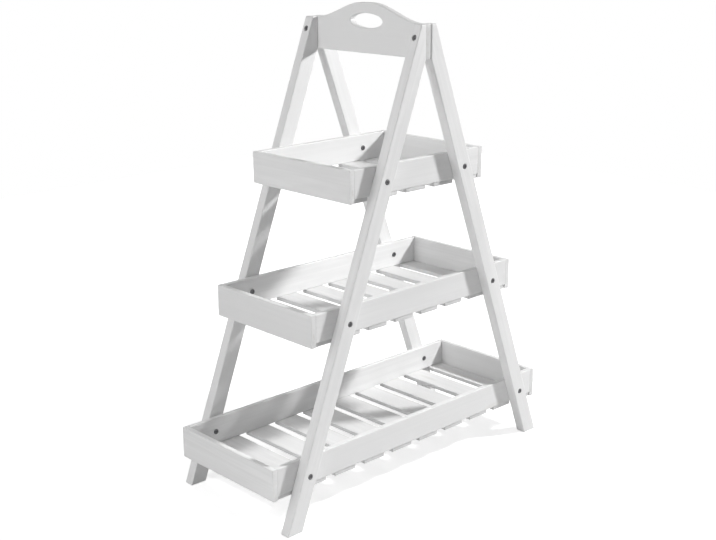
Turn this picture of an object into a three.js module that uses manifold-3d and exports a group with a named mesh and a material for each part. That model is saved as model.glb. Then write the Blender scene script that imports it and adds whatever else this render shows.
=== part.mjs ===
// Plant ladder stand: two A-frames of leaning legs, a handle board clamped
// between their tops, and three slatted trays bolted between the frames.
// Millimetres, +Z up. X runs along the trays, Y across the depth, and the
// origin is on the floor at the middle of the footprint.
import * as THREE from 'three';
import { mergeVertices } from 'three/addons/utils/BufferGeometryUtils.js';
import Module from 'manifold-3d';

const wasm = await Module();
wasm.setup();

// ---- driving dimensions -------------------------------------------------
// frames
const footSpan = 768;         // over the outer edges of the feet, along X
const legTopSpan = 42;        // over the outer edges of the leg tops, along X
const legHeight = 964;        // floor to the flat leg tops
const legWidth = 36;          // wide face of a leg, square to its length
const legThickness = 23;      // leg timber across the depth
const timberRound = 2;        // rounded arris of the thick timber
// handle board
const handleThickness = 16;
const handleEndInset = 2;     // board end behind the outer faces of the legs
const archRise = 34.5;        // arch above the shoulders
const shoulderLength = 18;    // level stretch between the arch and each board end
const archFlatHalf = 12;      // half of the level stretch at the crown
const archSteps = 14;         // outline steps along each half of the arch
const holeWidth = 94;         // hand hole
const holeHeight = 30;
const holeDrop = 2;           // hole centre below the shoulders
const holeSteps = 24;
// trays
const trayWidth = 294;        // over the side boards, between the frames
const boardThickness = 12;    // side and end boards
const endBoardHeight = 67;
const boardRound = 1.5;       // rounded arris of boards and slats
const boltDrop = 30;          // bolt axis below the top of a tray
const topLength = 385;
const middleLength = 592;
const bottomLength = 800;
const topLevel = 698;         // height of the upper edges of the top tray
const middleLevel = 430;
const bottomLevel = 141;
// slats under the side boards
const slatThickness = 9;
const slatWidth = 58;
const middleSlatWidth = 52;
const topLeftSlatWidth = 37;  // the outer slats are cut to fill each tray
const topRightSlatWidth = 51;
const middleOuterSlatWidth = 43;
const bottomOuterSlatWidth = 45;
const slatInset = 2;          // slat end behind the outer face of a side board
const slatEndGap = 1;         // last slat to the inside of the end board
const row = (first, width, count, last) => [first, ...Array(count).fill(width), last];
const trays = [
  { name: 'top', length: topLength, top: topLevel,
    slats: row(topLeftSlatWidth, slatWidth, 3, topRightSlatWidth) },
  { name: 'middle', length: middleLength, top: middleLevel,
    slats: row(middleOuterSlatWidth, middleSlatWidth, 6, middleOuterSlatWidth) },
  { name: 'bottom', length: bottomLength, top: bottomLevel,
    slats: row(bottomOuterSlatWidth, slatWidth, 8, bottomOuterSlatWidth) },
];
// fixings
const boltRadius = 3;         // shank of the joint bolts
const boltHeadRadius = 5.6;
const boltHeadHeight = 3;
const boltHeadChamfer = 0.8;
const headRecess = 3.3;       // depth of the seat for a bolt head in a leg
const socketWidth = 5;        // across the flats of the hexagonal socket
const socketDepth = 2;
const sleeveRadius = 4.2;     // barrel of a sleeve nut
const sleeveFlangeHeight = 1.6;
const barrelSetback = 1;      // barrel end short of the far face of its timber
const handleBoltDrop = 25;    // handle bolt axis below the leg tops
const handleHeadRecess = 5;   // depth of its seat, measured on the axis
const handleBoltReach = 14;   // length of its thread inside the sleeve nut
// clearances
const fitGap = 0.3;           // between a fixing and its hole or seat
const cutOver = 1;            // how far a cutting tool runs past a face

// ---- derived places -----------------------------------------------------
const footHalf = footSpan / 2;
const topHalf = legTopSpan / 2;
const lean = (footHalf - topHalf) / legHeight;
const legWidthLevel = legWidth * Math.sqrt(1 + lean * lean);
const clampHalf = handleThickness / 2;
const cutStart = (footHalf - legWidthLevel - clampHalf) / lean;
const legInnerY = trayWidth / 2;
const legOuterY = legInnerY + legThickness;
const legMidX = z => footHalf - lean * z - legWidthLevel / 2;
const legOuterX = z => footHalf - lean * z;
const sideBoardHeight = endBoardHeight - slatThickness;
const boardMidY = trayWidth / 2 - boardThickness / 2;

// ---- helpers ------------------------------------------------------------
const paint = () => new THREE.MeshStandardMaterial({ color: 0xf1f1ef, roughness: 0.55, metalness: 0 });
const steel = () => new THREE.MeshStandardMaterial({ color: 0x77787a, roughness: 0.4, metalness: 0.9 });

const stand = new THREE.Group();
const add = (name, geometry, material) => {
  const mesh = new THREE.Mesh(geometry, material);
  mesh.name = name;
  stand.add(mesh);
  return mesh;
};

const toSolid = geometry => {
  const g = geometry.clone();
  g.deleteAttribute('normal');
  g.deleteAttribute('uv');
  const m = mergeVertices(g, 1e-4);
  return new wasm.Manifold(new wasm.Mesh({
    numProp: 3,
    vertProperties: new Float32Array(m.attributes.position.array),
    triVerts: new Uint32Array(m.index.array),
  }));
};
const toGeometry = solid => {
  const m = solid.getMesh();
  const g = new THREE.BufferGeometry();
  g.setAttribute('position', new THREE.BufferAttribute(new Float32Array(m.vertProperties), 3));
  g.setIndex(new THREE.BufferAttribute(new Uint32Array(m.triVerts), 1));
  g.computeVertexNormals();
  return g;
};
const cut = (geometry, tools) => {
  if (!tools.length) return geometry;
  let solid = toSolid(geometry);
  for (const tool of tools) solid = solid.subtract(toSolid(tool));
  return toGeometry(solid);
};

// a flat board: outline in its own plane, thickness t, arrises rounded by r
const plank = (points, t, r) => {
  const shape = new THREE.Shape(points.map(([x, y]) => new THREE.Vector2(x, y)));
  return new THREE.ExtrudeGeometry(shape, {
    depth: t - 2 * r, bevelEnabled: true, bevelThickness: r, bevelSize: r,
    bevelOffset: -r, bevelSegments: 2,
  }).translate(0, 0, r - t / 2);
};
const rect = (w, h) => [[-w / 2, -h / 2], [w / 2, -h / 2], [w / 2, h / 2], [-w / 2, h / 2]];
// outline (x, y) stands up as (X, Z), thickness along Y
const standXZ = g => g.rotateX(Math.PI / 2);
// outline (x, y) stands up as (Y, Z), thickness along X
const standYZ = g => g.rotateX(Math.PI / 2).rotateZ(Math.PI / 2);
// solid cylinder along +Y from y0 to y1
const rodY = (r, y0, y1, sides) =>
  new THREE.CylinderGeometry(r, r, y1 - y0, sides).translate(0, (y0 + y1) / 2, 0);
// a turned piece along +Y, from [radius, y] pairs that start and end on the axis
const turned = (pairs, sides) => {
  const g = new THREE.LatheGeometry(pairs.map(([r, y]) => new THREE.Vector2(r, y)), sides);
  return toGeometry(toSolid(g));
};

// ---- legs ---------------------------------------------------------------
const legOutline = side => {
  const points = [
    [footHalf - legWidthLevel, 0], [footHalf, 0], [topHalf, legHeight],
    [clampHalf, legHeight], [clampHalf, cutStart],
  ];
  return side > 0 ? points : points.map(([x, z]) => [-x, z]).reverse();
};
const handleBoltZ = legHeight - handleBoltDrop;
const handleBoltY = (legInnerY + legOuterY) / 2;
const handleSeatX = legOuterX(handleBoltZ) - handleHeadRecess;
const barrelStartX = clampHalf + barrelSetback;

const makeLeg = (name, side, depthSign) => {
  const body = standXZ(plank(legOutline(side), legThickness, timberRound))
    .translate(0, depthSign * handleBoltY, 0);
  const tools = [];
  for (const tray of trays) {
    const z = tray.top - boltDrop;
    const x = side * legMidX(z);
    const shank = rodY(boltRadius + fitGap, legInnerY - cutOver, legOuterY + cutOver, 12);
    const seat = rodY(boltHeadRadius + fitGap, legOuterY - headRecess, legOuterY + cutOver, 16);
    for (const g of [shank, seat]) {
      if (depthSign < 0) g.rotateX(Math.PI);
      tools.push(g.translate(x, 0, z));
    }
  }
  const farX = legOuterX(handleBoltZ) + boltHeadRadius;
  const shankX = rodY(boltRadius + fitGap, 0, farX, 12).rotateZ(-Math.PI / 2);
  const seatX = rodY(boltHeadRadius + fitGap, handleSeatX, farX, 16).rotateZ(-Math.PI / 2);
  const barrelX = rodY(sleeveRadius + fitGap, barrelStartX, handleSeatX + cutOver, 12)
    .rotateZ(-Math.PI / 2);
  const axial = side > 0 ? [shankX, seatX, barrelX] : [shankX, seatX];
  for (const g of axial) {
    if (side < 0) g.rotateZ(Math.PI);
    tools.push(g.translate(0, depthSign * handleBoltY, handleBoltZ));
  }
  add(name, cut(body, tools), paint());
};
makeLeg('leg_front_left', -1, -1);
makeLeg('leg_front_right', 1, -1);
makeLeg('leg_back_left', -1, 1);
makeLeg('leg_back_right', 1, 1);

// ---- handle board -------------------------------------------------------
const handleHalf = legOuterY - handleEndInset;
const archHalfSpan = handleHalf - shoulderLength;
const archZ = y => {
  const u = Math.min(1, Math.max(0, (archHalfSpan - Math.abs(y)) / (archHalfSpan - archFlatHalf)));
  return legHeight + archRise * u * u * (3 - 2 * u);
};
const handleOutline = [[-handleHalf, cutStart], [handleHalf, cutStart], [handleHalf, legHeight]];
for (let i = -archSteps; i <= archSteps; i++) {
  const y = -archHalfSpan * i / archSteps;
  handleOutline.push([y, archZ(y)]);
}
handleOutline.push([-handleHalf, legHeight]);
const handleBody = standYZ(plank(handleOutline, handleThickness, timberRound));
const holeShape = [];
for (let i = 0; i < holeSteps; i++) {
  const a = 2 * Math.PI * i / holeSteps;
  holeShape.push([holeWidth / 2 * Math.cos(a), holeHeight / 2 * Math.sin(a)]);
}
const holeTool = standYZ(new THREE.ExtrudeGeometry(
  new THREE.Shape(holeShape.map(([x, y]) => new THREE.Vector2(x, y))),
  { depth: 2 * handleThickness, bevelEnabled: false },
).translate(0, 0, -handleThickness)).translate(0, 0, legHeight - holeDrop);
const handleTools = [holeTool];
for (const s of [-1, 1]) {
  handleTools.push(rodY(boltRadius + fitGap, -handleThickness, handleThickness, 12)
    .rotateZ(-Math.PI / 2).translate(0, s * handleBoltY, handleBoltZ));
}
add('handle_board', cut(handleBody, handleTools), paint());

// ---- fixings ------------------------------------------------------------
const socketTool = y => new THREE.CylinderGeometry(socketWidth / Math.sqrt(3),
  socketWidth / Math.sqrt(3), 2 * socketDepth, 6).translate(0, y, 0);
// head of a joint bolt along +Y, its underside at y, as [radius, y] pairs
const headPairs = y => [
  [boltHeadRadius, y], [boltHeadRadius, y + boltHeadHeight - boltHeadChamfer],
  [boltHeadRadius - boltHeadChamfer, y + boltHeadHeight], [0, y + boltHeadHeight],
];

// tray bolt along +Y, tightened into its sleeve nut: flange on the inside of
// the side board, barrel in the board, shank in the leg, head in its seat
const flangeY = legInnerY - boardThickness - fitGap;
const trayHeadY = legOuterY - headRecess + fitGap;
const trayBolt = cut(turned([
  [0, flangeY - sleeveFlangeHeight], [boltHeadRadius, flangeY - sleeveFlangeHeight],
  [boltHeadRadius, flangeY], [sleeveRadius, flangeY],
  [sleeveRadius, legInnerY - barrelSetback], [boltRadius, legInnerY - barrelSetback],
  [boltRadius, trayHeadY], ...headPairs(trayHeadY),
], 12), [socketTool(trayHeadY + boltHeadHeight)]);

// handle bolt along -X, head at the left leg, thread in the sleeve nut
const handleBolt = cut(turned([
  [0, -barrelStartX - handleBoltReach], [boltRadius, -barrelStartX - handleBoltReach],
  [boltRadius, handleSeatX + fitGap], ...headPairs(handleSeatX + fitGap),
], 12), [socketTool(handleSeatX + fitGap + boltHeadHeight)]).rotateZ(Math.PI / 2);
const handleSleeve = cut(turned([
  [0, barrelStartX + fitGap], [sleeveRadius, barrelStartX + fitGap],
  [sleeveRadius, handleSeatX + fitGap], ...headPairs(handleSeatX + fitGap),
], 12), [
  rodY(boltRadius + fitGap, 0, barrelStartX + handleBoltReach + fitGap, 12),
]).rotateZ(-Math.PI / 2);
for (const [end, s] of [['front', -1], ['back', 1]]) {
  add(`handle_bolt_${end}`, handleBolt.clone().translate(0, s * handleBoltY, handleBoltZ), steel());
  add(`handle_sleeve_nut_${end}`,
    handleSleeve.clone().translate(0, s * handleBoltY, handleBoltZ), steel());
}

// ---- trays --------------------------------------------------------------
for (const tray of trays) {
  const innerLength = tray.length - 2 * boardThickness;
  const sideZ = tray.top - sideBoardHeight / 2;
  const endZ = tray.top - endBoardHeight / 2;
  const slatZ = tray.top - sideBoardHeight - slatThickness / 2;
  const boltZ = tray.top - boltDrop;
  const boltX = legMidX(boltZ);

  for (const [face, s] of [['front', -1], ['back', 1]]) {
    const side = standXZ(plank(rect(innerLength, sideBoardHeight), boardThickness, boardRound))
      .translate(0, s * boardMidY, sideZ);
    const holes = [-1, 1].map(e => rodY(sleeveRadius + fitGap, -boardThickness, boardThickness, 12)
      .translate(e * boltX, s * boardMidY, boltZ));
    add(`${tray.name}_side_board_${face}`, cut(side, holes), paint());
  }

  for (const [end, e] of [['left', -1], ['right', 1]]) {
    add(`${tray.name}_end_board_${end}`,
      standYZ(plank(rect(trayWidth, endBoardHeight), boardThickness, boardRound))
        .translate(e * (tray.length - boardThickness) / 2, 0, endZ), paint());
  }

  // slats laid from left to right, the gaps between them sharing what is left
  const fill = innerLength - 2 * slatEndGap;
  const covered = tray.slats.reduce((sum, width) => sum + width, 0);
  const gap = (fill - covered) / (tray.slats.length - 1);
  let x = -fill / 2;
  tray.slats.forEach((width, i) => {
    add(`${tray.name}_slat_${i + 1}`,
      plank(rect(width, trayWidth - 2 * slatInset), slatThickness, boardRound)
        .translate(x + width / 2, 0, slatZ), paint());
    x += width + gap;
  });

  for (const [face, s] of [['front', -1], ['back', 1]]) {
    for (const [end, e] of [['left', -1], ['right', 1]]) {
      const bolt = trayBolt.clone();
      if (s < 0) bolt.rotateX(Math.PI);
      add(`${tray.name}_bolt_${face}_${end}`, bolt.translate(e * boltX, 0, boltZ), steel());
    }
  }
}

export default stand;
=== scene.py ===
"""White painted plant ladder: two bolted A-frames, three slatted trays and an arched handle board.
Lengths are in millimetres and MM turns them into metres; lamps, camera and floor fade are in metres."""
import itertools
import math

import bmesh
import bpy
import numpy as np
from mathutils import Matrix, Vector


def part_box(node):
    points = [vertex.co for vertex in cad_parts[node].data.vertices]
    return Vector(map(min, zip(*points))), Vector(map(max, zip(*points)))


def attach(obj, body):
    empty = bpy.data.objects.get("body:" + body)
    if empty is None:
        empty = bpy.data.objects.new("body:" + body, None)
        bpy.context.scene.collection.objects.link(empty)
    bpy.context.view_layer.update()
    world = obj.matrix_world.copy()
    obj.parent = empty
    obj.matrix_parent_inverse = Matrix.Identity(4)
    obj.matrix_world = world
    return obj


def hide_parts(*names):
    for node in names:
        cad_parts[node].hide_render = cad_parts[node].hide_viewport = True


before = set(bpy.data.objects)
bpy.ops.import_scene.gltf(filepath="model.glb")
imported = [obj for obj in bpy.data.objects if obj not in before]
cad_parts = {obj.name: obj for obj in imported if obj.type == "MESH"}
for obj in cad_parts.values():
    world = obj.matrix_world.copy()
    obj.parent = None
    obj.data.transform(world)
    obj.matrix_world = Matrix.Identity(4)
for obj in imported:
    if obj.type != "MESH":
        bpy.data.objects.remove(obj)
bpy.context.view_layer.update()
MM = 0.001

# ---- sizes shared with the frame ------------------------------------------
CLEARANCE = 0.3            # between a fixing and its hole or seat
FOOT_HALF = 384.0          # outer edge of a leg at the floor, from the middle
TOP_HALF = 21.0            # the same at the leg top
LEG_HEIGHT = 964.0
LEG_WIDTH = 36.0           # across the leaning face
LEG_THICKNESS = 23.0
LEG_INNER_Y = 147.0        # inner face of a leg, against the side boards
LEG_OUTER_Y = LEG_INNER_Y + LEG_THICKNESS
LEG_MID_Y = LEG_INNER_Y + LEG_THICKNESS / 2
LEAN = (FOOT_HALF - TOP_HALF) / LEG_HEIGHT
LEG_WIDTH_LEVEL = LEG_WIDTH * math.sqrt(1 + LEAN * LEAN)
CLAMP_HALF = 8.0           # half the handle board's thickness
CUT_START = (FOOT_HALF - LEG_WIDTH_LEVEL - CLAMP_HALF) / LEAN  # a leg's inner edge is upright from here
HANDLE_END_INSET = 2.0     # board end behind the outer faces of the legs
HANDLE_HALF = LEG_OUTER_Y - HANDLE_END_INSET
SHOULDER = 18.0            # level stretch between the arch and each board end
ARCH_HALF = HANDLE_HALF - SHOULDER
ARCH_FLAT = 12.0
ARCH_RISE = 34.5
HAND_HOLE = (47.0, 15.0)   # half axes of the hand hole
HOLE_DROP = 2.0            # its centre below the shoulders
HAND_HOLE_Z = LEG_HEIGHT - HOLE_DROP
TRAYS = {"top": (698.0, 5), "middle": (430.0, 8), "bottom": (141.0, 10)}  # upper edge, slats
BOARD = 12.0               # thickness of a side board
BOLT_DROP = 30.0           # bolt axis below the upper edge of a tray
SHANK_RADIUS = 3.0
SHANK_HOLE = SHANK_RADIUS + CLEARANCE
HEAD_RADIUS = 5.6
HEAD_HEIGHT = 3.0
SEAT_RADIUS = HEAD_RADIUS + CLEARANCE
SEAT_DEPTH = 3.3           # seat of a tray bolt's head in a leg
SLEEVE_RADIUS = 4.2        # barrel of a sleeve nut
SLEEVE_HOLE = SLEEVE_RADIUS + CLEARANCE
FLANGE_HEIGHT = 1.6        # flange of a sleeve nut on a side board
BARREL_SETBACK = 1.0       # barrel end short of the far face of its timber
HANDLE_BOLT_DROP = 25.0    # handle bolt axis below the leg tops
HANDLE_BOLT_Z = LEG_HEIGHT - HANDLE_BOLT_DROP
HANDLE_HEAD_RECESS = 5.0   # depth of its seat, measured on the axis
HANDLE_SEAT_X = FOOT_HALF - LEAN * HANDLE_BOLT_Z - HANDLE_HEAD_RECESS
HANDLE_BARREL_X = CLAMP_HALF + BARREL_SETBACK
HANDLE_THREAD = 14.0       # reach of a handle bolt inside its sleeve nut

# ---- fine shape of the surfaces ---------------------------------------------
LEG_ARRIS = 2.0            # radii of the sanded arrises
BOARD_ARRIS = 1.6
END_BOARD_ARRIS = 1.7
SLAT_ARRIS = 1.6
RIM_ARRIS = 2.0
HOLE_ARRIS = 2.6
CORNER_EASE = 2.4          # corners of the handle board's outline
CRISP = 0.5                # arris round the ends of the tray boards, which meet at the corners
SEAT_CHAMFER = 0.6         # bevelled mouth of a bolt seat
BIT_RUN = 3.0              # how far a drill bit runs past a face
SEAT_BIT_END = 46.0        # end of the bit for a handle bolt's seat, clear of the leaning edge
ARC = np.linspace(0, 1, 5)                     # steps of a rounded arris
FLAT = np.array([0.035, 0.2, 0.5, 0.8, 0.965])  # lines laid along a flat face
FACE_LINES = (0.04, 0.2, 0.4, 0.6, 0.8, 0.93)   # the same from the hand hole to the rim
ROW_STEP = 22.0            # between the rows along a board
END_MARGIN = 4.0           # first plain row of a board past its eased end
WANDER_SHARE = 0.22        # of an arris radius, how far it wanders
WANDER_FADE = 40.0         # length over which the wandering grows from nothing
SHARP_ANGLE = math.radians(32)
ARRIS_REACH = 4.0          # how far in the mark of an arris is felt
END_REACH = 0.4            # the same for an end face
LEAST_ARRIS = 1e-4         # left of an arris where the section draws in fully
BEND_ROWS = (-1.2, 0.0, 1.2)    # rows close about the place where a leg's inner edge turns upright
HOLE_POINTS = 96
BIT_COLUMNS = 40           # points round a drill bit
TURNED_COLUMNS = 48        # points round a fixing
AXIS = 1e-3                # radius of a station that closes on the axis
MERGE_DISTANCE = 2e-6      # metres, as is the next one
LEAST_EDGE = 1e-6
GRAIN_SHIFT = (3.0, 0.35, 0.35)  # metres, the most that a board's grain is moved along, across and through


# ---- surfaces ---------------------------------------------------------------
def wander(length, seed):
    """Slow wave along a board: the sum of three sines of 1.3, 3.1 and 7.7 turns a metre, with phases
    drawn from the seed."""
    phase = np.random.default_rng(seed).uniform(0, 2 * np.pi, (3, 4))
    turns = np.array([1.3, 3.1, 7.7])[:, None, None]
    waves = np.sin(2 * np.pi * turns * length[None, :, None] * MM + phase[:, None, :])
    return (waves * np.array([0.5, 0.3, 0.2])[:, None, None]).sum(axis=0)


def sanded(radius, places, inset, seed):
    """Radius of the four arrises along a board: the given radius less the draw-in of the section, with a
    slow wave of WANDER_SHARE of it that starts END_MARGIN in from each end."""
    past_end = np.minimum(places - places[0], places[-1] - places) - END_MARGIN
    fade = np.clip(past_end / WANDER_FADE, 0, 1)
    wave = radius * WANDER_SHARE * fade[:, None] * wander(places, seed)
    return np.maximum(radius - inset[:, None] + wave, LEAST_ARRIS)


def rounded_loops(half_a, half_b, radius):
    """Rounded rectangles, one a row: at each corner a quarter circle about a centre set in by the radius,
    and between two corners points on the straight line that joins their arcs."""
    corner = np.arange(4)
    sign_a, sign_b = np.array([1, -1, -1, 1]), np.array([1, 1, -1, -1])
    angle = (corner[:, None] + ARC[None, :]) * np.pi / 2
    a = (sign_a * (half_a[:, None] - radius))[..., None] + radius[..., None] * np.cos(angle)
    b = (sign_b * (half_b[:, None] - radius))[..., None] + radius[..., None] * np.sin(angle)
    arcs = np.stack([a, b], axis=-1)
    start, end = arcs[:, :, -1:, :], np.roll(arcs[:, :, :1, :], -1, axis=1)
    flats = start + (end - start) * FLAT[None, None, :, None]
    return np.concatenate([arcs, flats], axis=2).reshape(len(half_a), -1, 2)


def eased_rows(low, high, radius):
    """Places along a board and how far its section draws in there: at each end a quarter circle,
    place = end +- radius (1 - sin), draw-in = radius (1 - cos), then END_MARGIN, and even steps between."""
    turn = ARC[::-1] * np.pi / 2
    start, stop = low + radius, high - radius
    count = max(2, int(round((stop - start) / ROW_STEP)) + 1)
    middle = np.linspace(start + END_MARGIN, stop - END_MARGIN, count)
    places = np.concatenate([low + radius * (1 - np.sin(turn[:-1])), [start], middle, [stop],
                             high - radius * (1 - np.sin(turn[::-1][1:]))])
    inset = np.concatenate([radius * (1 - np.cos(turn[:-1])), np.zeros(count + 2),
                            radius * (1 - np.cos(turn[::-1][1:]))])
    return places, inset


def mesh_from_grid(name, grid, closed_rows=False):
    """Quads between neighbouring rows of a grid of points, each row a closed loop. The first and last
    rows are closed by a face, or joined to each other."""
    rows, columns = grid.shape[:2]
    index = np.arange(rows * columns).reshape(rows, columns)
    if closed_rows:
        index = np.vstack([index, index[:1]])
    here, beside = index[:-1], np.roll(index[:-1], -1, axis=1)
    above, across = index[1:], np.roll(index[1:], -1, axis=1)
    faces = np.stack([here, beside, across, above], axis=-1).reshape(-1, 4).tolist()
    if not closed_rows:
        faces += [index[0, ::-1].tolist(), index[-1].tolist()]
    mesh = bpy.data.meshes.new(name)
    mesh.from_pydata((grid.reshape(-1, 3) * MM).tolist(), [], faces)
    tidy_mesh(mesh)
    return mesh


def tidy_mesh(mesh):
    """Merges doubles, turns the faces outwards and keeps hard edges above SHARP_ANGLE."""
    shell = bmesh.new()
    shell.from_mesh(mesh)
    bmesh.ops.remove_doubles(shell, verts=shell.verts, dist=MERGE_DISTANCE)
    bmesh.ops.dissolve_degenerate(shell, edges=shell.edges, dist=LEAST_EDGE)
    bmesh.ops.recalc_face_normals(shell, faces=shell.faces)
    shell.to_mesh(mesh)
    shell.free()
    mesh.shade_smooth()
    mesh.set_sharp_from_angle(angle=SHARP_ANGLE)


def plank_grid(low, high, along, radius, end_radius, seed):
    """A board between two corners: a rounded rectangle carried along one axis, its arris radius
    wandering a little along the length as hand sanding leaves it, and another radius round each end."""
    low, high = np.asarray(low, float), np.asarray(high, float)
    across = [axis for axis in range(3) if axis != along]
    places, inset = eased_rows(low[along], high[along], end_radius)
    radii = sanded(radius, places, inset, seed)
    middle = (low + high) / 2
    half = (high - low) / 2
    loops = rounded_loops(half[across[0]] - inset, half[across[1]] - inset, radii)
    grid = np.zeros(loops.shape[:2] + (3,))
    grid[..., along] = places[:, None]
    grid[..., across[0]] = middle[across[0]] + loops[..., 0]
    grid[..., across[1]] = middle[across[1]] + loops[..., 1]
    return grid


def leg_grid(side, depth_sign, seed):
    """A leaning leg: at each height a rounded rectangle from the inner to the outer edge. The outer edge
    leans in by LEAN for each unit of height; the inner one does so until it meets the handle board and
    runs upright from there."""
    even_places, even_inset = eased_rows(0.0, LEG_HEIGHT, LEG_ARRIS)
    places = np.sort(np.append(even_places, CUT_START + np.array(BEND_ROWS)))
    inset = np.interp(places, even_places, even_inset)
    outer = FOOT_HALF - LEAN * places
    inner = np.maximum(outer - LEG_WIDTH_LEVEL, CLAMP_HALF)
    radii = sanded(LEG_ARRIS, places, inset, seed)
    loops = rounded_loops((outer - inner) / 2 - inset, LEG_THICKNESS / 2 - inset, radii)
    grid = np.zeros(loops.shape[:2] + (3,))
    grid[..., 0] = side * ((outer + inner)[:, None] / 2 + loops[..., 0])
    grid[..., 1] = depth_sign * (LEG_MID_Y + loops[..., 1])
    grid[..., 2] = places[:, None]
    return grid


def arch_height(y):
    """Top edge of the handle board: level shoulders, then a rise that follows 3u^2 - 2u^3."""
    u = np.clip((ARCH_HALF - np.abs(y)) / (ARCH_HALF - ARCH_FLAT), 0, 1)
    return LEG_HEIGHT + ARCH_RISE * u * u * (3 - 2 * u)


def handle_outline():
    """Outline of the handle board as (y, z) points round its middle, the four corners eased by a
    quarter circle."""
    side_count, foot_count, arch_count = 9, 61, 121
    turn = np.linspace(0, np.pi / 2, 6)
    end_y = HANDLE_HALF - CORNER_EASE
    low_z, high_z = CUT_START + CORNER_EASE, LEG_HEIGHT - CORNER_EASE
    side = np.linspace(low_z, high_z, side_count)
    foot_y = np.linspace(-end_y, end_y, foot_count)
    arch_y = np.linspace(end_y, -end_y, arch_count)

    def corner(y, z, first):
        angle = first + turn
        return np.stack([y + CORNER_EASE * np.cos(angle), z + CORNER_EASE * np.sin(angle)], axis=1)

    return np.concatenate([
        np.stack([foot_y, np.full(foot_count, CUT_START)], axis=1)[1:-1],
        corner(end_y, low_z, -np.pi / 2),
        np.stack([np.full(side_count, HANDLE_HALF), side], axis=1)[1:-1],
        corner(end_y, high_z, 0.0),
        np.stack([arch_y, arch_height(arch_y)], axis=1)[1:-1],
        corner(-end_y, high_z, np.pi / 2),
        np.stack([np.full(side_count, -HANDLE_HALF), side[::-1]], axis=1)[1:-1],
        corner(-end_y, low_z, np.pi)])


def hand_hole(bearing):
    """Outline of the hand hole, an ellipse, as (y, z) points at the given bearings."""
    half_y, half_z = HAND_HOLE
    return np.stack([half_y * np.cos(bearing), HAND_HOLE_Z + half_z * np.sin(bearing)], axis=1)


def outward(points):
    """Unit normals of a closed loop of (y, z) points: the tangent between neighbours, turned by a
    quarter turn."""
    tangent = np.roll(points, -1, axis=0) - np.roll(points, 1, axis=0)
    tangent /= np.linalg.norm(tangent, axis=1, keepdims=True)
    return np.stack([tangent[:, 1], -tangent[:, 0]], axis=1)


def handle_grid():
    """The handle board as a ring: its section runs from the hand hole over the face to the rim, round
    the rim and back to the hole, with quarter-circle arrises, and is carried round the outline."""
    rim = handle_outline()
    normal = outward(rim)
    bearing = np.arctan2((rim[:, 1] - HAND_HOLE_Z) / HAND_HOLE[1], rim[:, 0] / HAND_HOLE[0])
    hole = hand_hole(bearing)
    slope = np.stack([np.cos(bearing) / HAND_HOLE[0], np.sin(bearing) / HAND_HOLE[1]], axis=1)
    slope /= np.linalg.norm(slope, axis=1, keepdims=True)
    turn = ARC * np.pi / 2
    face_rim, face_hole = rim - normal * RIM_ARRIS, hole + slope * HOLE_ARRIS
    section = []
    for side in (1, -1):
        hole_arc = [(hole + slope * HOLE_ARRIS * (1 - np.cos(t)),
                     side * (CLAMP_HALF - HOLE_ARRIS * (1 - np.sin(t)))) for t in turn]
        face = [(face_hole + (face_rim - face_hole) * t, side * CLAMP_HALF) for t in FACE_LINES]
        rim_arc = [(rim - normal * RIM_ARRIS * (1 - np.sin(t)),
                    side * (CLAMP_HALF - RIM_ARRIS * (1 - np.cos(t)))) for t in turn]
        section += (hole_arc + face + rim_arc)[::side]
    rings = np.array([points for points, _ in section])
    depth = np.array([x for _, x in section])
    grid = np.zeros(rings.shape[:2] + (3,))
    grid[..., 0] = depth[:, None]
    grid[..., 1:] = rings
    return grid


def turned_grid(stations, axis, centre, columns=TURNED_COLUMNS):
    """A turned piece: each station is (place on the axis, radius, flats), a circle of that radius, or where
    flats is 1 a hexagon whose half width across the flats is the radius."""
    stations = np.asarray(stations, float)
    angle = np.arange(columns) * 2 * np.pi / columns
    sixth = np.mod(angle, np.pi / 3) - np.pi / 6
    reach = 1 + stations[:, 2:3] * (1 / np.cos(sixth)[None, :] - 1)
    radius = stations[:, 1:2] * reach
    grid = np.zeros((len(stations), columns, 3))
    others = [k for k in range(3) if k != axis]
    grid[..., axis] = centre[axis] + stations[:, 0:1]
    grid[..., others[0]] = centre[others[0]] + radius * np.cos(angle)
    grid[..., others[1]] = centre[others[1]] + radius * np.sin(angle)
    return grid


# ---- pieces -------------------------------------------------------------------
def add_piece(name, mesh, material, node):
    """Puts a finished mesh in the scene in place of its frame node."""
    piece = bpy.data.objects.new(name, mesh)
    bpy.context.collection.objects.link(piece)
    mesh.materials.append(material)
    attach(piece, "root")
    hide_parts(node)


def bored(mesh, cutters):
    """Takes turned cutters out of a timber mesh and gives back the cut mesh."""
    timber = bpy.data.objects.new("timber_blank", mesh)
    bit = bpy.data.objects.new("drill_bit", mesh_from_parts("drill_bit", cutters))
    for thing in (timber, bit):
        bpy.context.collection.objects.link(thing)
    hole = timber.modifiers.new("bore", "BOOLEAN")
    hole.operation, hole.solver, hole.object = "DIFFERENCE", "EXACT", bit
    depsgraph = bpy.context.evaluated_depsgraph_get()
    cut = bpy.data.meshes.new_from_object(timber.evaluated_get(depsgraph))
    for thing in (timber, bit):
        spent = thing.data
        bpy.data.objects.remove(thing)
        bpy.data.meshes.remove(spent)
    tidy_mesh(cut)
    return cut


def mesh_from_parts(name, grids):
    """One mesh of several closed grids."""
    shell = bmesh.new()
    for k, grid in enumerate(grids):
        part = mesh_from_grid(f"{name}_{k}", grid)
        shell.from_mesh(part)
        bpy.data.meshes.remove(part)
    mesh = bpy.data.meshes.new(name)
    shell.to_mesh(mesh)
    shell.free()
    return mesh


def points_of(mesh):
    """The mesh's points as an array, in millimetres."""
    points = np.empty(len(mesh.vertices) * 3)
    mesh.vertices.foreach_get("co", points)
    return points.reshape(-1, 3) / MM


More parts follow.
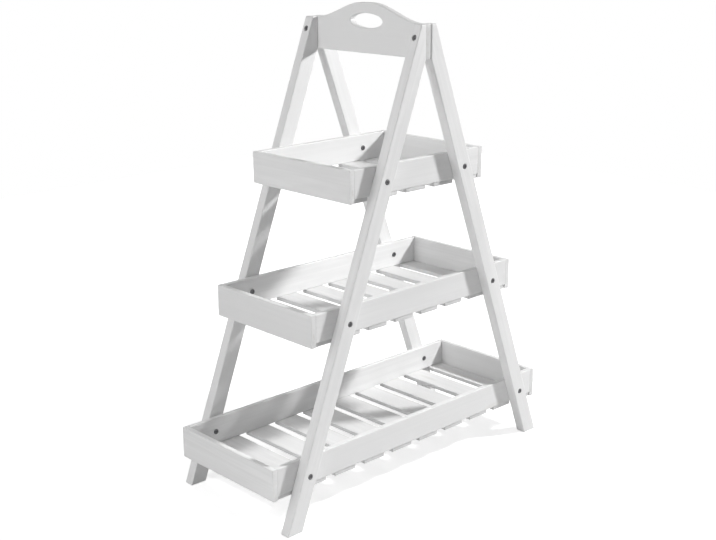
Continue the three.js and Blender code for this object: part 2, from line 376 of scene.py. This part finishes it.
def mark_timber(mesh, local, depth, seed):
    """Stores three marks on each point: its place in the board in metres along, across and through,
    shifted by an amount drawn from the seed; how near it is to an arris, from the second smallest of its
    depths below the faces, 1 on the arris and 0 from ARRIS_REACH in; and how near to an end face, 1 on it
    and 0 from END_REACH in."""
    shift = np.random.default_rng(seed).uniform(-1, 1, 3) * np.array(GRAIN_SHIFT)
    grain = mesh.attributes.new("timber", "FLOAT_VECTOR", "POINT")
    grain.data.foreach_set("vector", (local * MM + shift).astype(np.float32).ravel())
    away = np.sort(np.maximum(depth, 0), axis=1)[:, 1]
    near = mesh.attributes.new("arris", "FLOAT", "POINT")
    near.data.foreach_set("value", np.clip(1 - away / ARRIS_REACH, 0, 1).astype(np.float32))
    ends = mesh.attributes.new("ends", "FLOAT", "POINT")
    ends.data.foreach_set("value", np.clip(1 - depth[:, 0] / END_REACH, 0, 1).astype(np.float32))
    return mesh


def mark_plank(mesh, low, high, along, seed):
    """Marks for a straight board: places from its middle, the long axis first, and depths below its
    faces."""
    low, high = np.asarray(low, float), np.asarray(high, float)
    half = (high - low) / 2
    offset = points_of(mesh) - (low + high) / 2
    order = [along] + sorted((k for k in range(3) if k != along), key=lambda k: -half[k])
    return mark_timber(mesh, offset[:, order], half[order] - np.abs(offset[:, order]), seed)


def mark_leg(mesh, side, seed):
    """Marks for a leaning leg: along is the way up its slope, across the distance from its outer edge."""
    x, y, z = points_of(mesh).T
    steep = math.sqrt(1 + LEAN * LEAN)
    outer = (FOOT_HALF - LEAN * z - side * x) / steep
    inner = (side * x - np.maximum(FOOT_HALF - LEAN * z - LEG_WIDTH_LEVEL, CLAMP_HALF)) / steep
    through = np.abs(y) - LEG_MID_Y
    along = z * steep + outer * LEAN
    depth = np.stack([np.minimum(z, LEG_HEIGHT - z), np.minimum(outer, inner),
                      LEG_THICKNESS / 2 - np.abs(through)], axis=1)
    return mark_timber(mesh, np.stack([along, outer, through], axis=1), depth, seed)


def mark_handle(mesh, seed):
    """Marks for the handle board: depths below its ends, below its rim or hole, whichever is nearer, and
    below its faces."""
    x, y, z = points_of(mesh).T
    bearing = np.linspace(0, 2 * np.pi, HOLE_POINTS, endpoint=False)
    rim = np.concatenate([handle_outline(), hand_hole(bearing)])
    edge = np.sqrt((y[:, None] - rim[None, :, 0]) ** 2 + (z[:, None] - rim[None, :, 1]) ** 2).min(axis=1)
    depth = np.stack([HANDLE_HALF - np.abs(y), edge, CLAMP_HALF - np.abs(x)], axis=1)
    return mark_timber(mesh, np.stack([y, z - LEG_HEIGHT, x], axis=1), depth, seed)


# ---- finishes -------------------------------------------------------------------
def place_node(tree, kind, inputs=None, **settings):
    """Adds a node with its settings, and gives each named input a value or a link."""
    node = tree.nodes.new(kind)
    for key, value in settings.items():
        setattr(node, key, value)
    for key, value in (inputs or {}).items():
        if isinstance(value, bpy.types.NodeSocket):
            tree.links.new(value, node.inputs[key])
        else:
            node.inputs[key].default_value = value
    return node


def math_step(tree, operation, first, second, clamp=False):
    """One step of arithmetic between two values."""
    return place_node(tree, "ShaderNodeMath", {0: first, 1: second}, operation=operation,
                      use_clamp=clamp).outputs[0]


def weighted_sum(tree, base, pairs):
    """The base and each value times its weight, added up."""
    total = base
    for value, weight in pairs:
        total = math_step(tree, "ADD", total, math_step(tree, "MULTIPLY", value, weight))
    return total


def ramp(tree, value, low, high, to_low=0.0, to_high=1.0):
    """Smooth step from low to high."""
    return place_node(tree, "ShaderNodeMapRange", {"Value": value, "From Min": low, "From Max": high,
                                                   "To Min": to_low, "To Max": to_high},
                      interpolation_type="SMOOTHSTEP").outputs[0]


def blend(tree, factor, first, second, mode="MIX"):
    """Mixes two colours by a factor."""
    return place_node(tree, "ShaderNodeMix", {0: factor, 6: first, 7: second}, data_type="RGBA",
                      blend_type=mode).outputs[2]


def stretched(tree, place, scale):
    """A place in the board multiplied by a scale along, across and through it."""
    return place_node(tree, "ShaderNodeVectorMath", {0: place, 1: scale}, operation="MULTIPLY").outputs[0]


def stretched_noise(tree, place, scale, detail=2.0, roughness=0.5, distortion=0.0):
    """Noise stretched by a scale along, across and through the board."""
    return place_node(tree, "ShaderNodeTexNoise", {
        "Vector": stretched(tree, place, scale), "Scale": 1.0, "Detail": detail, "Roughness": roughness,
        "Distortion": distortion}).outputs[0]


def new_group(name, inputs, outputs):
    """An empty node group with named sockets, and its two end nodes."""
    group = bpy.data.node_groups.new(name, "ShaderNodeTree")
    for label, kind, value in inputs:
        socket = group.interface.new_socket(label, in_out="INPUT", socket_type=kind)
        if value is not None:
            socket.default_value = value
    for label, kind in outputs:
        group.interface.new_socket(label, in_out="OUTPUT", socket_type=kind)
    return group, group.nodes.new("NodeGroupInput").outputs, group.nodes.new("NodeGroupOutput")


def timber_grain():
    """Softwood under the paint: growth bands a centimetre or so apart, drawn out along the board, short
    pores between them, and a small knot here and there."""
    tree, given, out = new_group(
        "timber_grain", [("Place", "NodeSocketVector", None)],
        [("Bands", "NodeSocketFloat"), ("Pores", "NodeSocketFloat"), ("Knots", "NodeSocketFloat")])
    cell = stretched(tree, given["Place"], (2.6, 11.0, 11.0))
    knot = place_node(tree, "ShaderNodeTexVoronoi", {"Vector": cell, "Scale": 1.0, "Randomness": 1.0})
    near = ramp(tree, knot.outputs["Distance"], 0.11, 0.05)
    bands = stretched_noise(tree, given["Place"], (1.8, 95.0, 70.0), 3.0, 0.55, 0.5)
    pores = stretched_noise(tree, given["Place"], (45.0, 1500.0, 1500.0), 2.0)
    tree.links.new(ramp(tree, bands, 0.42, 0.62), out.inputs["Bands"])
    tree.links.new(ramp(tree, pores, 0.55, 0.8), out.inputs["Pores"])
    tree.links.new(near, out.inputs["Knots"])
    return tree


def brush_marks():
    """Marks of the paint brush: fine ridges along the board, broken where one stroke laps over the last."""
    tree, given, out = new_group(
        "brush_marks", [("Place", "NodeSocketVector", None), ("Width", "NodeSocketFloat", 1.0)],
        [("Ridges", "NodeSocketFloat"), ("Laps", "NodeSocketFloat")])
    fine = place_node(tree, "ShaderNodeVectorMath", {0: given["Place"], "Scale": given["Width"]},
                      operation="SCALE").outputs[0]
    ridges = stretched_noise(tree, fine, (7.0, 620.0, 620.0), 3.0, 0.6)
    laps = stretched_noise(tree, fine, (5.0, 38.0, 38.0), 2.0, 0.5, 0.6)
    tree.links.new(ridges, out.inputs["Ridges"])
    tree.links.new(laps, out.inputs["Laps"])
    return tree


def rubbed_arris():
    """Paint rubbed thin on the arrises: near an arris, where a patchy noise is high."""
    tree, given, out = new_group(
        "rubbed_arris", [("Place", "NodeSocketVector", None), ("Arris", "NodeSocketFloat", 0.0),
                         ("Amount", "NodeSocketFloat", 0.5)],
        [("Rubbed", "NodeSocketFloat")])
    patch = stretched_noise(tree, given["Place"], (26.0, 90.0, 90.0), 4.0, 0.62)
    chance = weighted_sum(tree, patch, ((given["Arris"], 0.62),))
    rubbed = math_step(tree, "MULTIPLY", ramp(tree, chance, 1.12, 1.24), given["Amount"], clamp=True)
    tree.links.new(rubbed, out.inputs["Rubbed"])
    return tree


def settled_dust():
    """A little dust: where a face looks up and a cloudy noise is high."""
    tree, given, out = new_group(
        "settled_dust", [("Place", "NodeSocketVector", None), ("Facing", "NodeSocketVector", None)],
        [("Dust", "NodeSocketFloat")])
    up = place_node(tree, "ShaderNodeSeparateXYZ", {0: given["Facing"]}).outputs[2]
    cloud = stretched_noise(tree, given["Place"], (9.0, 16.0, 16.0), 4.0, 0.6)
    dust = math_step(tree, "MULTIPLY", ramp(tree, up, 0.5, 0.95), ramp(tree, cloud, 0.42, 0.68))
    tree.links.new(dust, out.inputs["Dust"])
    return tree


GRAIN, BRUSH, RUBBED, DUST = timber_grain(), brush_marks(), rubbed_arris(), settled_dust()
BARE_WOOD = (0.56, 0.53, 0.49, 1)
DUST_TINT = (0.66, 0.65, 0.63, 1)
DUST_SHOW = 0.16
KNOT_TINT = (0.86, 0.85, 0.82)  # of the paint's level
PATCH_SHADE = 0.955             # the same in wide faint patches
BAND_SHADE = 0.93               # and over the growth bands
PAINT_ROUGHNESS = 0.38
RELIEF_DEPTH = 0.00035          # metres
STEEL_LIGHT = (0.21, 0.21, 0.215, 1)
STEEL_DARK = (0.11, 0.11, 0.113, 1)


def grey(level):
    """A neutral colour."""
    return (level, level, level, 1)


def use_group(tree, group, **inputs):
    """Places a node group and gives its inputs."""
    return place_node(tree, "ShaderNodeGroup", inputs, node_tree=group).outputs


def new_material(name):
    """A material with one Principled shader, and its tree and shader."""
    material = bpy.data.materials.new(name)
    material.use_nodes = True
    return material, material.node_tree, material.node_tree.nodes["Principled BSDF"]


def painted_timber(name, paint, shade, rubbed, grain_show, brush_width, end_grain_and_shade=0.94):
    """White paint brushed on softwood: two close whites by the laps of the brush and wide faint patches,
    the bands and knots of the wood just showing, end faces multiplied darker (greyer end grain, and on the
    handle board painted shade at its ends), thin paint on the arrises and dust on top, with bands, pores,
    ridges and knots as relief."""
    material, tree, shader = new_material(name)
    place = place_node(tree, "ShaderNodeAttribute", attribute_name="timber").outputs["Vector"]
    arris = place_node(tree, "ShaderNodeAttribute", attribute_name="arris").outputs["Fac"]
    ends = place_node(tree, "ShaderNodeAttribute", attribute_name="ends").outputs["Fac"]
    facing = place_node(tree, "ShaderNodeNewGeometry").outputs["Normal"]
    grain = use_group(tree, GRAIN, Place=place)
    brush = use_group(tree, BRUSH, Place=place, Width=brush_width)
    wear = use_group(tree, RUBBED, Place=place, Arris=arris, Amount=rubbed)
    dust = use_group(tree, DUST, Place=place, Facing=facing)
    patches = ramp(tree, stretched_noise(tree, place, (0.5, 4.0, 4.0), 1.0), 0.38, 0.62)
    bands = math_step(tree, "MULTIPLY", grain["Bands"], grain_show)
    knots = math_step(tree, "MULTIPLY", grain["Knots"], grain_show * 1.2, clamp=True)
    dusty = math_step(tree, "MULTIPLY", dust["Dust"], DUST_SHOW)
    colour = blend(tree, ramp(tree, brush["Laps"], 0.35, 0.65), grey(paint), grey(shade))
    colour = blend(tree, patches, colour, grey(shade * PATCH_SHADE))
    colour = blend(tree, bands, colour, grey(shade * BAND_SHADE))
    colour = blend(tree, knots, colour, (*[shade * part for part in KNOT_TINT], 1))
    # End faces multiplied darker: end grain on every piece, and painted shade at the handle board's ends.
    colour = blend(tree, ends, colour, grey(end_grain_and_shade), "MULTIPLY")
    colour = blend(tree, wear["Rubbed"], colour, BARE_WOOD)
    colour = blend(tree, dusty, colour, DUST_TINT)
    tree.links.new(colour, shader.inputs["Base Color"])
    roughness = weighted_sum(tree, PAINT_ROUGHNESS, (
        (brush["Ridges"], 0.16), (dust["Dust"], 0.14), (wear["Rubbed"], 0.3)))
    tree.links.new(roughness, shader.inputs["Roughness"])
    relief = weighted_sum(tree, 0.0, (
        (grain["Bands"], -0.35), (grain["Pores"], -0.3), (brush["Ridges"], 0.5), (grain["Knots"], 0.4)))
    bump = place_node(tree, "ShaderNodeBump", {"Strength": 0.5, "Distance": RELIEF_DEPTH, "Height": relief})
    tree.links.new(bump.outputs[0], shader.inputs["Normal"])
    shader.inputs["Specular IOR Level"].default_value = 0.4
    return material


def plated_steel(name):
    """Zinc plated steel: darker and duller blotches in the plating, and a fine speckle as relief."""
    material, tree, shader = new_material(name)
    place = place_node(tree, "ShaderNodeTexCoord").outputs["Object"]
    blotch = stretched_noise(tree, place, (420.0, 420.0, 420.0), 3.0, 0.6)
    speck = stretched_noise(tree, place, (2600.0, 2600.0, 2600.0), 2.0)
    colour = blend(tree, ramp(tree, blotch, 0.35, 0.7), STEEL_LIGHT, STEEL_DARK)
    tree.links.new(colour, shader.inputs["Base Color"])
    tree.links.new(weighted_sum(tree, 0.3, ((blotch, 0.25),)), shader.inputs["Roughness"])
    bump = place_node(tree, "ShaderNodeBump", {"Strength": 0.35, "Distance": 0.0001, "Height": speck})
    tree.links.new(bump.outputs[0], shader.inputs["Normal"])
    shader.inputs["Metallic"].default_value = 1.0
    return material


# One white paint in four copies whose levels differ as painted light and shade: the boards' copy is a touch
# darker than the legs'.
FRAME_PAINT = painted_timber("painted_frame_white", paint=0.84, shade=0.805, rubbed=0.3,
                             grain_show=0.35, brush_width=1.0)
# The handle board's copy of the white is a touch lighter than the legs', as painted light, and its ends are
# multiplied darker, as painted shade.
HANDLE_PAINT_SHADED_ENDS = painted_timber("painted_handle_white_shaded_ends", paint=0.845, shade=0.815, rubbed=0.3,
                              grain_show=0.35, brush_width=1.0, end_grain_and_shade=0.84)
BOARD_PAINT = painted_timber("painted_board_white", paint=0.83, shade=0.79, rubbed=0.3,
                             grain_show=0.4, brush_width=1.15)
# The slats' copy of the white is set darker than the boards', as painted shade on the tray floors.
SLAT_PAINT_SHADED = painted_timber("painted_slat_white_shaded", paint=0.76, shade=0.715, rubbed=0.35,
                            grain_show=0.5, brush_width=0.9)
STEEL = plated_steel("plated_bolt_steel")


# ---- timber -----------------------------------------------------------------------
def node_box(node):
    """A frame node's two corners in millimetres."""
    low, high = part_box(node)
    return np.array(low) / MM, np.array(high) / MM


def drill(axis, centre, stations):
    """A drill bit with the given (place, radius) steps along an axis, closed on the axis at both ends."""
    first, last = stations[0][0], stations[-1][0]
    steps = [(first, AXIS, 0)] + [(place, radius, 0) for place, radius in stations] + [(last, AXIS, 0)]
    return turned_grid(steps, axis, centre, BIT_COLUMNS)


def bolt_place(top):
    """Where the bolts of a tray cross the legs: distance from the middle, and height."""
    z = top - BOLT_DROP
    return FOOT_HALF - LEAN * z - LEG_WIDTH_LEVEL / 2, z


def make_leg(node, side, depth_sign, seed):
    """One leg with three bolt seats in its outer face and one in its narrow leaning face."""
    tray_stations = [
        (LEG_INNER_Y - BIT_RUN, SHANK_HOLE), (LEG_OUTER_Y - SEAT_DEPTH, SHANK_HOLE),
        (LEG_OUTER_Y - SEAT_DEPTH, SEAT_RADIUS), (LEG_OUTER_Y - SEAT_CHAMFER, SEAT_RADIUS),
        (LEG_OUTER_Y - SEAT_CHAMFER + BIT_RUN, SEAT_RADIUS + BIT_RUN)]
    barrel = SLEEVE_HOLE if side > 0 else SHANK_HOLE
    handle_stations = [
        (CLAMP_HALF - BIT_RUN, SHANK_HOLE), (HANDLE_BARREL_X, SHANK_HOLE), (HANDLE_BARREL_X, barrel),
        (HANDLE_SEAT_X, barrel), (HANDLE_SEAT_X, SEAT_RADIUS), (SEAT_BIT_END, SEAT_RADIUS)]
    bits = []
    for top, _ in TRAYS.values():
        x, z = bolt_place(top)
        bits.append(drill(1, (side * x, 0.0, z), [(depth_sign * y, r) for y, r in tray_stations]))
    bits.append(drill(0, (0.0, depth_sign * LEG_MID_Y, HANDLE_BOLT_Z),
                      [(side * x, r) for x, r in handle_stations]))
    mesh = mesh_from_grid(node + "_timber", leg_grid(side, depth_sign, seed))
    mesh = mark_leg(bored(mesh, bits), side, seed)
    add_piece(node + "_timber", mesh, FRAME_PAINT, node)


def make_handle(seed):
    """The arched handle board with its hand hole and two bolt holes."""
    reach = CLAMP_HALF + BIT_RUN
    bits = [drill(0, (0.0, s * LEG_MID_Y, HANDLE_BOLT_Z), [(-reach, SHANK_HOLE), (reach, SHANK_HOLE)])
            for s in (-1, 1)]
    blank = mesh_from_grid("handle_board_timber", handle_grid(), closed_rows=True)
    mesh = mark_handle(bored(blank, bits), seed)
    add_piece("handle_board_timber", mesh, HANDLE_PAINT_SHADED_ENDS, "handle_board")


def make_plank(node, along, radius, end_radius, material, seed, bits=()):
    """A straight board or slat in the place of its frame node."""
    low, high = node_box(node)
    mesh = mesh_from_grid(node + "_timber", plank_grid(low, high, along, radius, end_radius, seed))
    if bits:
        mesh = bored(mesh, bits)
    add_piece(node + "_timber", mark_plank(mesh, low, high, along, seed), material, node)


# Each piece draws its wandering and its grain from a seed: a running number plus its kind's offset.
HANDLE_SEED = 31
SIDE_BOARD_SEEDS, END_BOARD_SEEDS, SLAT_SEEDS = 40, 60, 80
seeds = itertools.count(12)
FACES = (("front", -1), ("back", 1))
SIDES = (("left", -1), ("right", 1))

for face, depth_sign in FACES:
    for end, side in SIDES:
        make_leg(f"leg_{face}_{end}", side, depth_sign, next(seeds))
make_handle(HANDLE_SEED)

for tray, (top, slats) in TRAYS.items():
    bolt_x, bolt_z = bolt_place(top)
    for face, s in FACES:
        stations = [(s * (LEG_INNER_Y - BOARD - BIT_RUN), SLEEVE_HOLE),
                    (s * (LEG_INNER_Y + BIT_RUN), SLEEVE_HOLE)]
        holes = [drill(1, (e * bolt_x, 0.0, bolt_z), stations) for e in (-1, 1)]
        make_plank(f"{tray}_side_board_{face}", 0, BOARD_ARRIS, CRISP, BOARD_PAINT,
                   next(seeds) + SIDE_BOARD_SEEDS, holes)
    for end, _ in SIDES:
        make_plank(f"{tray}_end_board_{end}", 1, END_BOARD_ARRIS, CRISP, BOARD_PAINT,
                   next(seeds) + END_BOARD_SEEDS)
    for k in range(slats):
        make_plank(f"{tray}_slat_{k + 1}", 1, SLAT_ARRIS, SLAT_ARRIS, SLAT_PAINT_SHADED,
                   next(seeds) + SLAT_SEEDS)


# ---- fixings ------------------------------------------------------------------------
SOCKET_HALF = 2.5          # half width across the flats of the socket
SOCKET_DEPTH = 2.0
NUT_SOCKET_DEPTH = 1.6     # in a handle bolt's sleeve nut
HEAD_CHAMFER = 0.8
HEAD_SHOULDER = 0.2        # its step in from the rim, halfway up the chamfer
RING_WIDTH = 1.0           # from the socket's flats out to a station on the flat ring
RING_FLATS = 0.3           # how hexagonal that station is
MOUTH_DEPTH = 0.25         # eased mouth of the socket
CONE_DEPTH = 0.5           # drilled cone below the socket's floor
STEEL_EDGE = 0.3           # small bevels on the steel
THREAD_LEAD = (0.6, 0.4)   # bevel at a handle bolt's tip, along and across


def socket_end(face, outward_sign, depth=SOCKET_DEPTH):
    """Stations of a bolt end from its rim in to the floor of its hexagonal socket: eased rim, flat ring,
    eased socket mouth, wall, floor and the cone that the drill left."""
    s = outward_sign
    return [(face - s * HEAD_CHAMFER, HEAD_RADIUS, 0),
            (face - s * STEEL_EDGE, HEAD_RADIUS - HEAD_SHOULDER, 0),
            (face, HEAD_RADIUS - HEAD_CHAMFER, 0),
            (face, SOCKET_HALF + RING_WIDTH, RING_FLATS),
            (face, SOCKET_HALF + STEEL_EDGE, 1),
            (face - s * MOUTH_DEPTH, SOCKET_HALF, 1),
            (face - s * (depth - STEEL_EDGE), SOCKET_HALF, 1),
            (face - s * depth, SOCKET_HALF - STEEL_EDGE, 1),
            (face - s * (depth + CONE_DEPTH), AXIS, 1)]


def make_fixing(node, stations, axis, centre):
    """A bolt or sleeve nut turned about one axis."""
    mesh = mesh_from_grid(node + "_steel", turned_grid(stations, axis, centre))
    add_piece(node + "_steel", mesh, STEEL, node)


flange_y = LEG_INNER_Y - BOARD - CLEARANCE
barrel_end_y = LEG_INNER_Y - BARREL_SETBACK
head_y = LEG_OUTER_Y - SEAT_DEPTH + CLEARANCE
tray_bolt = socket_end(flange_y - FLANGE_HEIGHT, -1)[::-1] + [
    (flange_y, HEAD_RADIUS, 0), (flange_y, SLEEVE_RADIUS, 0), (barrel_end_y, SLEEVE_RADIUS, 0),
    (barrel_end_y, SHANK_RADIUS, 0), (head_y, SHANK_RADIUS, 0), (head_y, HEAD_RADIUS, 0)
] + socket_end(head_y + HEAD_HEIGHT, 1)
for tray, (top, _) in TRAYS.items():
    bolt_x, bolt_z = bolt_place(top)
    for face, s in FACES:
        stations = [(s * place, radius, flats) for place, radius, flats in tray_bolt]
        for end, e in SIDES:
            make_fixing(f"{tray}_bolt_{face}_{end}", stations, 1, (e * bolt_x, 0.0, bolt_z))

head_x = HANDLE_SEAT_X + CLEARANCE
tip_x = HANDLE_BARREL_X + HANDLE_THREAD
lead_along, lead_across = THREAD_LEAD
handle_bolt = [
    (tip_x, AXIS, 0), (tip_x, SHANK_RADIUS - lead_across, 0), (tip_x - lead_along, SHANK_RADIUS, 0),
    (-head_x, SHANK_RADIUS, 0), (-head_x, HEAD_RADIUS, 0)] + socket_end(-head_x - HEAD_HEIGHT, -1)
handle_nut = [
    (tip_x + CLEARANCE, AXIS, 0), (tip_x + CLEARANCE, SHANK_HOLE, 0),
    (HANDLE_BARREL_X + CLEARANCE, SHANK_HOLE, 0), (HANDLE_BARREL_X + CLEARANCE, SLEEVE_RADIUS, 0),
    (head_x, SLEEVE_RADIUS, 0), (head_x, HEAD_RADIUS, 0)
] + socket_end(head_x + HEAD_HEIGHT, 1, NUT_SOCKET_DEPTH)
for face, s in FACES:
    centre = (0.0, s * LEG_MID_Y, HANDLE_BOLT_Z)
    make_fixing(f"handle_bolt_{face}", handle_bolt, 0, centre)
    make_fixing(f"handle_sleeve_nut_{face}", handle_nut, 0, centre)


# ---- studio -------------------------------------------------------------------------
FLOOR_HALF = 3000.0
FLOOR_LINES = 25
FLOOR_GREY = 0.75
FLOOR_LIFT = 0.60          # glow that only the camera sees, as a share of plain white
FLOOR_FADE = (0.9, 2.2)    # metres from the middle over which the lift grows to plain white


def pale_floor():
    """A level square of grid points that keeps the shadow near the ladder and runs out to plain white
    further off."""
    reach = np.linspace(-FLOOR_HALF, FLOOR_HALF, FLOOR_LINES)
    x, y = np.meshgrid(reach, reach)
    index = np.arange(FLOOR_LINES * FLOOR_LINES).reshape(FLOOR_LINES, FLOOR_LINES)
    faces = np.stack([index[:-1, :-1], index[:-1, 1:], index[1:, 1:], index[1:, :-1]], axis=-1)
    points = np.stack([x, y, np.zeros_like(x)], axis=-1).reshape(-1, 3) * MM
    mesh = bpy.data.meshes.new("pale_floor")
    mesh.from_pydata(points.tolist(), [], faces.reshape(-1, 4).tolist())
    floor = bpy.data.objects.new("pale_floor", mesh)
    bpy.context.collection.objects.link(floor)
    material, tree, shader = new_material("pale_floor_white")
    shader.inputs["Base Color"].default_value = grey(FLOOR_GREY)
    shader.inputs["Roughness"].default_value = 0.9
    shader.inputs["Specular IOR Level"].default_value = 0.0
    camera_ray = place_node(tree, "ShaderNodeLightPath").outputs["Is Camera Ray"]
    place = place_node(tree, "ShaderNodeTexCoord").outputs["Object"]
    away = place_node(tree, "ShaderNodeVectorMath", {0: place}, operation="LENGTH").outputs["Value"]
    level = ramp(tree, away, *FLOOR_FADE, FLOOR_LIFT, 1.0)
    glow = math_step(tree, "MULTIPLY", camera_ray, level)
    lift = place_node(tree, "ShaderNodeEmission", {"Color": grey(1), "Strength": glow})
    both = place_node(tree, "ShaderNodeAddShader", {0: shader.outputs[0], 1: lift.outputs[0]})
    tree.links.new(both.outputs[0], tree.nodes["Material Output"].inputs["Surface"])
    mesh.materials.append(material)


def white_world(strength):
    """Even white light of the given strength, seen as plain white by the camera and in gloss."""
    world = bpy.data.worlds.new("white_studio")
    world.use_nodes = True
    tree = world.node_tree
    sky = tree.nodes["Background"]
    sky.inputs["Color"].default_value = (1, 1, 1, 1)
    path = place_node(tree, "ShaderNodeLightPath").outputs
    seen = math_step(tree, "ADD", path["Is Camera Ray"], path["Is Transmission Ray"])
    seen = math_step(tree, "ADD", seen, path["Is Glossy Ray"], clamp=True)
    level = place_node(tree, "ShaderNodeMapRange", {"Value": seen, "To Min": strength, "To Max": 1.0})
    tree.links.new(level.outputs[0], sky.inputs["Strength"])
    bpy.context.scene.world = world


def lamp(name, place, target, size, power, even=False):
    """A square soft lamp at a place, turned to a target, unseen by the camera. Where it is even, it lights
    near and far parts alike, as a lamp far away does, while its rays still spread from its place."""
    light = bpy.data.lights.new(name, "AREA")
    light.shape, light.size, light.energy = "SQUARE", size, power
    if even:
        light.use_nodes = True
        tree = light.node_tree
        falloff = place_node(tree, "ShaderNodeLightFalloff", {"Strength": 1.0})
        tree.links.new(falloff.outputs["Constant"], tree.nodes["Emission"].inputs["Strength"])
    thing = bpy.data.objects.new(name, light)
    bpy.context.collection.objects.link(thing)
    thing.location = place
    away = np.array(place) - np.array(target)
    thing.rotation_euler = (math.atan2(math.hypot(away[0], away[1]), away[2]), 0,
                            math.atan2(away[1], away[0]) + math.pi / 2)
    thing.visible_camera = False


pale_floor()
white_world(0.23)
lamp("key_lamp", (1.2, -0.9, 1.35), (0.0, 0.0, 0.45), 0.14, 10.4, even=True)
lamp("low_left_lamp", (-3.0, 0.3, 0.55), (0.0, 0.0, 0.55), 1.6, 1.8, even=True)
lamp("high_left_lamp", (-2.6, 0.2, 2.2), (0.0, 0.0, 0.5), 1.6, 3.1, even=True)
lamp("top_lamp", (0.2, 0.2, 3.0), (0.0, 0.0, 0.45), 1.6, 4.0)
lamp("back_lamp", (0.3, 3.0, 0.9), (0.0, 0.0, 0.5), 1.6, 12.0)

# ---- camera ---------------------------------------------------------------------------
CAMERA_PLACE = (-1.724383, -1.778846, 1.147303)
CAMERA_YAW, CAMERA_PITCH, CAMERA_ROLL = -43.581, -16.089, -0.19
SENSOR_WIDTH = 36.0
FOCAL_PIXELS = 1193.149    # focal length in pixels of a picture PICTURE_WIDTH wide
PICTURE_WIDTH = 716.0
camera = bpy.data.objects.new("photo_camera", bpy.data.cameras.new("photo_camera"))
bpy.context.collection.objects.link(camera)
camera.data.sensor_width = SENSOR_WIDTH
camera.data.lens = FOCAL_PIXELS * SENSOR_WIDTH / PICTURE_WIDTH
camera.data.clip_end = 50.0
camera.location = CAMERA_PLACE
turn = (Matrix.Rotation(math.radians(CAMERA_YAW), 4, "Z")
        @ Matrix.Rotation(math.radians(90 + CAMERA_PITCH), 4, "X")
        @ Matrix.Rotation(math.radians(CAMERA_ROLL), 4, "Z"))
camera.rotation_euler = turn.to_euler()
scene = bpy.context.scene
scene.camera = camera
scene.view_settings.view_transform = "Standard"
